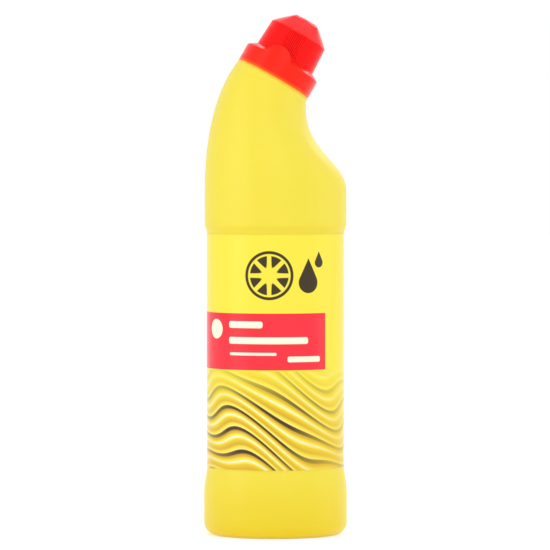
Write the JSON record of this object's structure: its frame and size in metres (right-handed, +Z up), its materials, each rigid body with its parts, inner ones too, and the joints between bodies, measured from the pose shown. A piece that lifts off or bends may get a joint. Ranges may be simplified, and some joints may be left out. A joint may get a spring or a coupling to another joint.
{
  "type": "bleach bottle",
  "caption": "Bent-neck bottle for thick bleach, with a recessed wrap label, a press-on spout collar and a ribbed squeeze-and-turn screw cap.",
  "frame": {"origin": "centre of the base, on the surface that the bottle stands on", "axes": "+Z up; +X towards the side that the neck leans to; -Y towards the front of the label"},
  "size_m": [0.077, 0.07, 0.2788],
  "materials": {
    "bottle_plastic": "satin blow-moulded polyethylene, yellow",
    "label_film": "glossy printed film, yellow and red",
    "closure_plastic": "satin moulded polypropylene, red",
    "disc_foam": "white foamed polyethylene"
  },
  "bodies": {
    "bottle": {"bottle": "bottle_plastic", "label": "label_film", "spout_collar": "closure_plastic"},
    "disc": {"sealing_disc": "disc_foam"},
    "cap": {"cap": "closure_plastic"}
  },
  "joints": [
    {"name": "cap_lift", "type": "slide", "parent": "bottle", "child": "disc", "axis": [0.5, 0, 0.866], "range_m": [0, 0.0241]},
    {"name": "cap_turn", "type": "hinge", "parent": "disc", "child": "cap", "pos_m": [-0.001, 0, 0.2445], "axis": [0.5, 0, 0.866], "range_deg": [0, 2160]}
  ],
  "couplings": [
    {"joint": "cap_lift", "follows": "cap_turn", "m_per_rad": 0.00063662}
  ]
}
